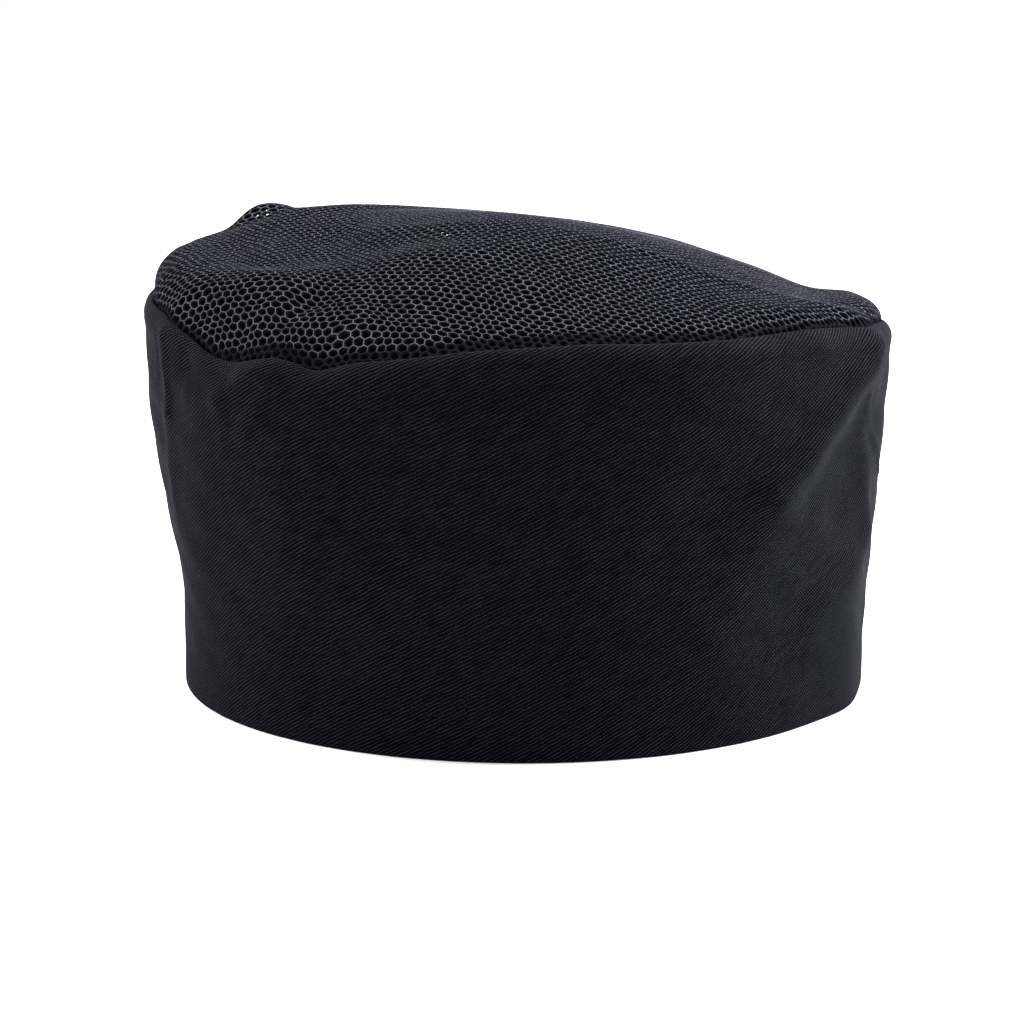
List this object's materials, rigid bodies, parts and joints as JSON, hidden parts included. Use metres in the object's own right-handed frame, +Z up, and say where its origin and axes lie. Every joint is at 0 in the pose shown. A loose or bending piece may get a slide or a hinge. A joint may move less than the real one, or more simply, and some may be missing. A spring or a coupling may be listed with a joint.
{
  "type": "mesh flat top hat",
  "caption": "Round cook's cap with a tall folded twill band and a soft, shallow, lopsided crown of open net.",
  "frame": {"origin": "middle of the bounding box, in the plane of the rim that the cap rests on", "axes": "+Z up along the band, -Y towards the front, +X towards the viewer's right when the front is faced"},
  "size_m": [0.2004, 0.2048, 0.1257],
  "materials": {
    "twill": "near-black diagonal twill, matt with a faint sheen",
    "net": "near-black knitted net of round holes, matt yarn"
  },
  "bodies": {
    "root": {"twill_band": "twill", "mesh_crown": "net"}
  },
  "joints": []
}
